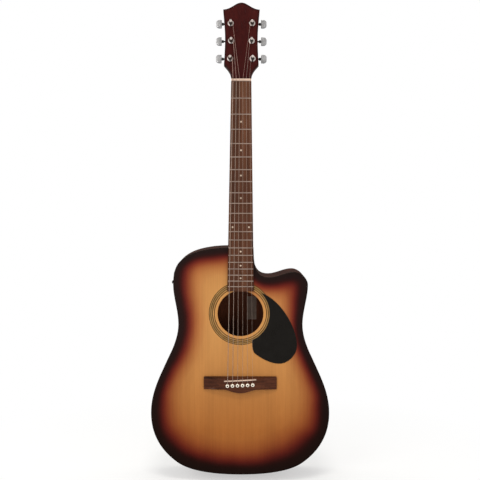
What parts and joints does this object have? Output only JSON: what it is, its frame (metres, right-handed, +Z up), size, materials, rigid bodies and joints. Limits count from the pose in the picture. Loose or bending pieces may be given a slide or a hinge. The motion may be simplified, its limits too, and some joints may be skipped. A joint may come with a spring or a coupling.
{
  "type": "acoustic guitar",
  "caption": "Steel-string acoustic guitar with a cutaway dreadnought body, sunburst top, set of geared tuners, pickguard and a small preamp in its side.",
  "frame": {"origin": "middle of the guitar's width and depth, at the lowest point, which is the end jack's outer face", "axes": "+Z up the neck to the head, -Y out of the top towards the player's audience, +X towards the treble strings and the cutaway"},
  "size_m": [0.3924, 0.1341, 1.0515],
  "materials": {
    "top_spruce": "gloss sunburst lacquer",
    "body_mahogany": "gloss dark brown lacquer",
    "inner_wood": "raw",
    "rosette": "gloss lacquer",
    "pickguard": "polished black",
    "neck_mahogany": "satin lacquer",
    "rod_steel": "plain",
    "rosewood": "oiled",
    "bone": "polished",
    "head_veneer": "gloss dark red-brown lacquer",
    "lead_rubber": "matte",
    "chrome": "polished",
    "black_plastic": "fine matte",
    "knob_plastic": "satin",
    "battery_can": "satin",
    "string_bronze": "wound",
    "string_steel": "plain"
  },
  "bodies": {
    "root": {"top_plate": "top_spruce", "back_plate": "body_mahogany", "side_bass": "body_mahogany", "side_treble": "body_mahogany", "top_lining": "inner_wood", "back_lining": "inner_wood", "neck_block": "inner_wood", "tail_block": "inner_wood", "top_bracing": "inner_wood", "bridge_plate": "inner_wood", "back_bracing": "inner_wood", "rosette": "rosette", "pickguard": "pickguard", "neck": "neck_mahogany", "truss_rod": "rod_steel", "fretboard": "rosewood", "nut": "bone", "head_veneer": "head_veneer", "bridge": "rosewood", "saddle": "bone", "pickup": "lead_rubber", "end_jack": "chrome", "jack_lead": "lead_rubber", "strap_button": "chrome", "preamp_panel": "black_plastic", "preamp_case": "black_plastic", "battery": "battery_can", "bridge_pin_1": "bone", "string_1": "string_steel", "bridge_pin_2": "bone", "string_2": "string_steel", "bridge_pin_3": "bone", "string_3": "string_bronze", "bridge_pin_4": "bone", "string_4": "string_bronze", "bridge_pin_5": "bone", "string_5": "string_bronze", "bridge_pin_6": "bone", "string_6": "string_bronze", "tuner_housing_bass_1": "chrome", "tuner_housing_treble_1": "chrome", "tuner_housing_bass_2": "chrome", "tuner_housing_treble_2": "chrome", "tuner_housing_bass_3": "chrome", "tuner_housing_treble_3": "chrome"},
    "post_bass_1": {"tuner_post_bass_1": "chrome"},
    "button_bass_1": {"tuner_button_bass_1": "chrome"},
    "post_treble_1": {"tuner_post_treble_1": "chrome"},
    "button_treble_1": {"tuner_button_treble_1": "chrome"},
    "post_bass_2": {"tuner_post_bass_2": "chrome"},
    "button_bass_2": {"tuner_button_bass_2": "chrome"},
    "post_treble_2": {"tuner_post_treble_2": "chrome"},
    "button_treble_2": {"tuner_button_treble_2": "chrome"},
    "post_bass_3": {"tuner_post_bass_3": "chrome"},
    "button_bass_3": {"tuner_button_bass_3": "chrome"},
    "post_treble_3": {"tuner_post_treble_3": "chrome"},
    "button_treble_3": {"tuner_button_treble_3": "chrome"},
    "volume_knob": {"volume_knob": "knob_plastic"},
    "tone_knob": {"tone_knob": "knob_plastic"},
    "battery_door": {"battery_door": "black_plastic"}
  },
  "joints": [
    {"name": "button_turn_bass_1", "type": "hinge", "parent": "root", "child": "button_bass_1", "pos_m": [-0.045, -0.022, 0.92666], "axis": [-1, 0, 0], "continuous": true},
    {"name": "post_turn_bass_1", "type": "hinge", "parent": "root", "child": "post_bass_1", "pos_m": [-0.0243, -0.04487, 0.9238], "axis": [0, -0.9703, 0.2419], "continuous": true},
    {"name": "button_turn_treble_1", "type": "hinge", "parent": "root", "child": "button_treble_1", "pos_m": [0.045, -0.022, 0.92666], "axis": [1, 0, 0], "continuous": true},
    {"name": "post_turn_treble_1", "type": "hinge", "parent": "root", "child": "post_treble_1", "pos_m": [0.0243, -0.04487, 0.9238], "axis": [0, -0.9703, 0.2419], "continuous": true},
    {"name": "button_turn_bass_2", "type": "hinge", "parent": "root", "child": "button_bass_2", "pos_m": [-0.045, -0.01205, 0.96654], "axis": [-1, 0, 0], "continuous": true},
    {"name": "post_turn_bass_2", "type": "hinge", "parent": "root", "child": "post_bass_2", "pos_m": [-0.0223, -0.03492, 0.96368], "axis": [0, -0.9703, 0.2419], "continuous": true},
    {"name": "button_turn_treble_2", "type": "hinge", "parent": "root", "child": "button_treble_2", "pos_m": [0.045, -0.01205, 0.96654], "axis": [1, 0, 0], "continuous": true},
    {"name": "post_turn_treble_2", "type": "hinge", "parent": "root", "child": "post_treble_2", "pos_m": [0.0223, -0.03492, 0.96368], "axis": [0, -0.9703, 0.2419], "continuous": true},
    {"name": "button_turn_bass_3", "type": "hinge", "parent": "root", "child": "button_bass_3", "pos_m": [-0.045, -0.00211, 1.00642], "axis": [-1, 0, 0], "continuous": true},
    {"name": "post_turn_bass_3", "type": "hinge", "parent": "root", "child": "post_bass_3", "pos_m": [-0.0235, -0.02498, 1.00356], "axis": [0, -0.9703, 0.2419], "continuous": true},
    {"name": "button_turn_treble_3", "type": "hinge", "parent": "root", "child": "button_treble_3", "pos_m": [0.045, -0.00211, 1.00642], "axis": [1, 0, 0], "continuous": true},
    {"name": "post_turn_treble_3", "type": "hinge", "parent": "root", "child": "post_treble_3", "pos_m": [0.0235, -0.02498, 1.00356], "axis": [0, -0.9703, 0.2419], "continuous": true},
    {"name": "volume_turn", "type": "hinge", "parent": "root", "child": "volume_knob", "pos_m": [-0.15, -0.02695, 0.4356], "axis": [-1, 0, 0], "range_deg": [-135, 135]},
    {"name": "tone_turn", "type": "hinge", "parent": "root", "child": "tone_knob", "pos_m": [-0.15, -0.01294, 0.4356], "axis": [-1, 0, 0], "range_deg": [-135, 135]},
    {"name": "battery_door_swing", "type": "hinge", "parent": "root", "child": "battery_door", "pos_m": [-0.147, 0.01605, 0.4542], "axis": [0, 1, 0], "range_deg": [0, 100]}
  ],
  "couplings": [
    {"joint": "post_turn_bass_1", "follows": "button_turn_bass_1", "ratio": 0.066667},
    {"joint": "post_turn_treble_1", "follows": "button_turn_treble_1", "ratio": 0.066667},
    {"joint": "post_turn_bass_2", "follows": "button_turn_bass_2", "ratio": 0.066667},
    {"joint": "post_turn_treble_2", "follows": "button_turn_treble_2", "ratio": 0.066667},
    {"joint": "post_turn_bass_3", "follows": "button_turn_bass_3", "ratio": 0.066667},
    {"joint": "post_turn_treble_3", "follows": "button_turn_treble_3", "ratio": 0.066667}
  ]
}
